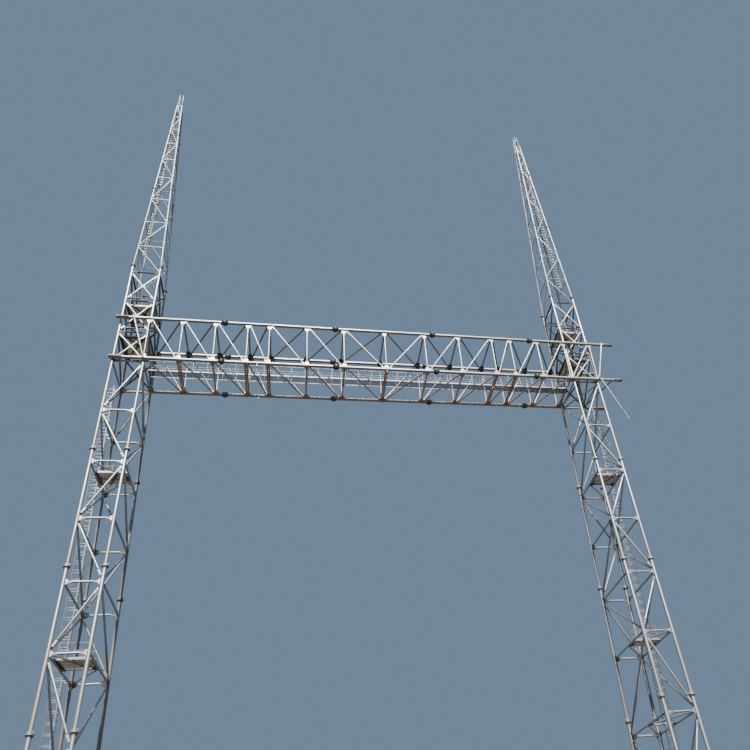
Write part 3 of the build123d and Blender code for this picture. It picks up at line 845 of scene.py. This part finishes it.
for column, out in outward.items():
    work = Steelwork()
    ladder(work, climb_line(column, ladder_foot), climb_line(column, beam_height - ladder_stop),
           ladder_stain)
    for z in levels[1:-1]:
        for side in (-1, 1):
            outer = climb_line(column, z) + across_beam * side * ladder_width / 2
            inner = Vector((columns[column] + out * (column_width / 2 + brace / 2), outer.y, z))
            work.strip(inner, outer, upright, stile, stile_thickness)
    foot, head = (
        Vector((columns[column] + out * (half_width(z) - mast_brace / 2 - seat - stile / 2), 0, z))
        for z in (mast_levels[1] - stile, mast_levels[-2]))
    ladder(work, foot, head)
    way = (head - foot).normalized()
    for i in range(int((head - foot).length * mast_cage_share / mast_hoop_pitch)):
        at = foot + way * (i + 0.5) * mast_hoop_pitch
        depth = min(mast_hoop_depth, half_width(at.z) * mast_hoop_share)
        hoop = [at + across_beam * ladder_width / 2 * math.cos(a)
                - along_beam * out * depth * math.sin(a) for a in half_circle]
        for a, b in zip(hoop, hoop[1:]):
            work.strip(a, b, upright, *hoop_band, mast_hoop_stain)
    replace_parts(work.make(f"{column}_ladder_rungs", "ladder_steel", sides=6),
                f"{column}_ladder")
    cage = Steelwork()
    hoops = int((beam_height - cage_stop - first_hoop) // hoop_pitch) + 1
    rounds = [hoop_points(column, first_hoop + i * hoop_pitch) for i in range(hoops)]
    for points in rounds:
        for a, b in zip(points, points[1:]):
            cage.strip(a, b, upright, *hoop_band, cage_stain)
    for low, high in list(zip(rounds[0], rounds[-1]))[3:8]:
        cage.strip(low, high, across_beam, *strap_band, cage_stain)
    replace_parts(cage.make(f"{column}_cage", "ladder_steel"), f"{column}_ladder_cage")

# %% [markdown]
# ## The beam
# Four chords run from column to column, with the same flanges at their splices. At each node
# a gusset stands up from the chord and another lies flat towards the far chord. The lower
# joints carry the rust coloured run-off, most on the back chord, so the points there are
# given a stain.


# %% Chords
stain_spread, splice_reach, splice_stain = 45.0, 14.0, -0.75
tube_stops = (14.0, 34.0)
left_plate, right_plate = ((length, width * chord_radius, 4.0)
                           for length, width in ((104.0, 3.0), (76.0, 2.8)))
tip_length, left_end_stain, left_plate_stain, right_plate_stain = 22.0, 0.7, 0.6, 0.1


def corner(face, z):
    """The axis of a chord, as a function of the place along it."""
    return lambda x: Vector((x, face * beam_half, z))


def chord(work, face, z, clean, worst):
    """A chord with flanged splices, its stain rising at each node and at the left end; on the back
    top chord that is painted shade.
    """
    at = corner(face, z)
    places, stains_and_shades = [beam_ends[0] + tube_stops[0]], [left_end_stain]
    for x in nodes:
        places += [x - stain_spread, x, x + stain_spread]
        stains_and_shades += [clean, worst, clean]
    work.run([at(x) for x in places + [beam_ends[1] - tube_stops[1]]], chord_radius,
             stains_and_shades + [worst])
    for x in sorted(nodes[panel] + share * panels[panel] for panel, share in splices):
        flange(work, at(x), along_beam, chord_radius, splice_reach, bolts=10, ribs=10,
               stains_and_shades=[splice_stain] * 2)
    for flat in (across_beam, upright):
        work.fit(PLATE, at(beam_ends[0] + left_plate[0] / 2), along_beam, flat, left_plate,
                 left_plate_stain)
        tip = at(beam_ends[1] - tip_length)
        work.fit(PLATE, tip - along_beam * right_plate[0] / 2, along_beam, flat, right_plate,
                 right_plate_stain)
        work.fit(GUSSET, tip + along_beam * tip_length / 2, flat, along_beam,
                 (right_plate[1], tip_length, right_plate[2]), right_plate_stain)


# The bottom chords' brown at the nodes is rust; the back top chord's nodes are darkened as painted
# shade.
chord_stains_and_shades = {("bottom", -1): (0.15, 0.4), ("bottom", 1): (0.42, 1.0),
                ("top", -1): (0.0, 0.12), ("top", 1): (0.05, -0.6)}
for level_name, z in (("bottom", beam_height), ("top", beam_top)):
    work = Steelwork()
    for face in (-1, 1):
        chord(work, face, z, *chord_stains_and_shades[level_name, face])
    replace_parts(work.make(f"beam_{level_name}_tubes", "beam_tube", sides=20),
                f"beam_{level_name}_chords")


# %% Bracing of the beam's four sides
node_gusset, pair_shifts, pair_stain = (3.5, 2.8), (-9.0, 9.0), 1.6
doubled_nodes = [nodes[i] for i in (1, 3, 4, 7, 10, 11)]


def beam_side(work, corner_a, corner_b, facing, falling, stains_and_shades, plates, doubled=()):
    """A bar and two gussets at each node, and one diagonal in each panel.

    The level sides have no bar at the first and the last node and none in the last panel. At
    the doubled nodes there is a pair of bars, and what stains the others stains it more.
    """
    size, bare = (web, 0) if facing is across_beam else (cross_web, 1)
    reaches, rails = [chord_radius] * 2, [along_beam] * 2
    for x in nodes[bare:len(nodes) - bare]:
        a, b = corner_a(x), corner_b(x)
        shifts, more = (pair_shifts, pair_stain) if x in doubled else ((0.0,), 1.0)
        for shift in shifts:
            aside = along_beam * shift
            strut(work, a + aside, b + aside, rails, reaches, facing, size,
                  [more * stain_and_shade for stain_and_shade in stains_and_shades])
        gusset(work, a, along_beam, b - a, chord_radius, size, plates[0], *node_gusset)
        gusset(work, b, along_beam, a - b, chord_radius, size, plates[1], *node_gusset)
    for i in range(len(panels) - bare):
        x_a, x_b = nodes[i] + heel, nodes[i + 1] - heel
        if (i < len(panels) // 2) != falling:
            x_a, x_b = x_b, x_a
        strut(work, corner_a(x_a), corner_b(x_b), rails, reaches, facing, size, stains_and_shades, lap=-1)


# On the back side the upper ends are darkened as painted shade; the lower ends carry rust.
for name, face, stains_and_shades, plates in (("front", -1, (0.0, 0.1), (0.0, 0.15)),
                                   ("back", 1, (-0.45, 0.5), (-0.95, 0.9))):
    work = Steelwork()
    beam_side(work, corner(face, beam_top), corner(face, beam_height), across_beam, True,
              stains_and_shades, plates)
    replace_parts(work.make(f"beam_{name}_braces", "beam_tube"), f"beam_{name}_bracing")

work = Steelwork()
for column in columns:
    for side, face in corner_signs:
        leg = leg_point(column, side, face, beam_top)
        work.run([leg, corner(face, beam_top)(leg.x)], web / 2)
# The beam's top face, seen from below, is darkened as painted shade, most at its back gussets.
beam_side(work, corner(-1, beam_top), corner(1, beam_top), upright, False, (-0.8, -0.6),
          (-0.3, dark))
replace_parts(work.make("beam_top_braces", "beam_tube"), "beam_top_bracing")

work = Steelwork()
beam_side(work, corner(-1, beam_height), corner(1, beam_height), upright, True, (0.9, 1.2),
          (0.55, 1.0), doubled_nodes)
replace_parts(work.make("beam_bottom_braces", "beam_tube"), "beam_bottom_bracing")

# %% Walkway
edge_bar, edge_bar_lift, edge_bar_inset = (10.0, 1.4), 5.0, 1.0
cleat, cleat_lift, cleat_stain, post_gaps = (20.0, 8.0, 5.0), 3.0, -0.95, 32

walkway_floor = beam_height + cross_web / 2 + seat
walkway_span = (nodes[0] + web, columns["right"] - column_width / 2 - web)
front_edge = walkway_offset - walkway_width / 2
back_edge = front_edge + walkway_width
work = Steelwork()
grating(work, walkway_span, (front_edge + 2 * edge_bar_inset, back_edge - 2 * edge_bar_inset),
        walkway_floor + deck_thickness, False, pitch=3.0, rod_pitch=12.0)
for y in (front_edge + edge_bar_inset, back_edge - edge_bar_inset):
    ends = [Vector((x, y, walkway_floor + edge_bar_lift)) for x in walkway_span]
    work.strip(*ends, upright, *edge_bar)
    for x in nodes[1:-1]:
        work.fit(PLATE, Vector((x, y, walkway_floor + cleat_lift)), along_beam, across_beam,
                 cleat, cleat_stain)
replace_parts(work.make("walkway_grating", "deck_grating"), "walkway_deck")
post_step = (walkway_span[1] - walkway_span[0] - 2 * rail) / post_gaps
for name, face in (("front", -1), ("back", 1)):
    y = walkway_offset + face * (walkway_width - rail) / 2
    low = walkway_floor + deck_thickness
    work = Steelwork()
    for x in running_sum(walkway_span[0] + rail, [post_step] * post_gaps):
        foot = Vector((x, y, low))
        work.run([foot, foot + upright * rail_height], rail / 2)
    for height in (rail_height + seat + rail / 2, rail_height * knee_rail):
        work.run([Vector((x, y, low + height)) for x in walkway_span], rail / 2)
    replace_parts(work.make(f"walkway_{name}_handrail", "handrail_tube", sides=8),
                f"walkway_{name}_rail")

# %% [markdown]
# ## Loose braces and line eyes
# Five braces hang by one end, because the beam is only just in place. They show what the
# others hide: the flat end plate with its two holes. The eyes for the lines keep the CAD
# solids, whose round holes are right, and only take the stained finish.

# %% Loose braces
clear = chord_radius + seat + web / 2
tube_starts, tab_length, tab_size, tab_hole = (20.0, 22.0), 32.0, (1.2 * web, 1.8), 6.0
tab_bolt, tab_stain, flat_stain = (1.9, 1.8), -0.4, -0.7

lines = []
for i, face, start, end in swung:
    y = face * (beam_half + clear)
    tip = y - swing_out if end[1] > 0 else y
    lines.append((Vector((nodes[i] + start[0], y, beam_height + start[1])),
                  Vector((nodes[i] + end[0], tip, beam_height + end[1])), across_beam, 0.0))
ends = [corner(face, beam_height + clear)(nodes[-1] + shift)
        for face, shift in zip((1, -1), swung_flat)]
lines.append((*ends, upright, flat_stain))
work = Steelwork()
for start, end, facing, stain_and_shade in lines:
    way = (end - start).normalized()
    across = facing.cross(way).normalized()
    work.run([start + way * tube_starts[0], end - way * tube_starts[1]], web / 2, [stain_and_shade] * 2)
    for tip, out in ((start, way), (end, -way)):
        work.strip(tip, tip + out * tab_length, across, *tab_size, stain_and_shade + tab_stain)
        work.bolt(tip + out * tab_hole, facing, *tab_bolt)
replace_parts(work.make("loose_brace_tubes", "beam_tube"), "loose_braces")
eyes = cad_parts["line_lugs"]
eyes.data.materials.clear()
eyes.data.materials.append(finishes["stained_steel"])

# %% [markdown]
# ## Floor, light and camera
# The floor is plain and pale, and the backdrop is one plain blue-grey. In the photo the sun is
# high behind the viewer: each tube has one bright band and a dark side. So the key light does
# the same, and it leaves out the floor, whose glare would fill the dark undersides. The camera
# stands low, to the left of the middle, and looks steeply up, so the columns lean in towards
# the top of the picture.

# %% Floor
bpy.ops.mesh.primitive_plane_add(size=120.0, location=(0, 0, 0))
floor = bpy.context.object
floor.name = "studio_floor"
floor_finish = bpy.data.materials.new("pale_floor")
floor_finish.use_nodes = True
floor_shader = floor_finish.node_tree.nodes["Principled BSDF"]
floor_shader.inputs["Base Color"].default_value = (0.80, 0.78, 0.75, 1)
floor_shader.inputs["Roughness"].default_value = 0.9
floor.data.materials.append(floor_finish)

# %% Light
world = bpy.data.worlds.new("studio_backdrop")
world.use_nodes = True
bpy.context.scene.world = world
for label, value in (("Color", (0.40, 0.60, 0.88, 1)), ("Strength", 0.40)):
    world.node_tree.nodes["Background"].inputs[label].default_value = value


def sun(name, travel, strength, spread):
    """A sun lamp whose light travels in the given direction."""
    lamp = bpy.data.lights.new(name, "SUN")
    lamp.energy, lamp.angle, lamp.color = strength, math.radians(spread), (1.0, 0.96, 0.89)
    holder = placed(name, lamp)
    holder.rotation_euler = Vector(travel).to_track_quat("-Z", "Y").to_euler()
    return holder


key = sun("key", (0.03, 0.68, -0.73), 12.5, 3.0)
unlit = bpy.data.collections.new("not_for_the_key")
unlit.objects.link(floor)
unlit.collection_objects[0].light_linking.link_state = "EXCLUDE"
key.light_linking.receiver_collection = unlit
sun("top", (0.25, 0.2, -1.0), 0.7, 40.0)

# %% Camera
yaw, pitch, roll = (math.radians(a) for a in (16.17, 33.17, -8.04))
turned = (Matrix.Rotation(-yaw, 4, "Z") @ Matrix.Rotation(math.pi / 2 + pitch, 4, "X")
          @ Matrix.Rotation(roll, 4, "Z"))
view = bpy.data.cameras.new("view")
view.lens, view.sensor_width = 35.344, 36.0
view.shift_x, view.shift_y = -0.1311, 0.1218
view.clip_end = 500.0
camera = placed("view", view)
viewpoint = Vector((-674.6 + middle, -5380.8, 162.0)) * MM
camera.matrix_world = Matrix.Translation(viewpoint) @ turned
bpy.context.scene.camera = camera
print("camera at", [round(c, 3) for c in camera.location])
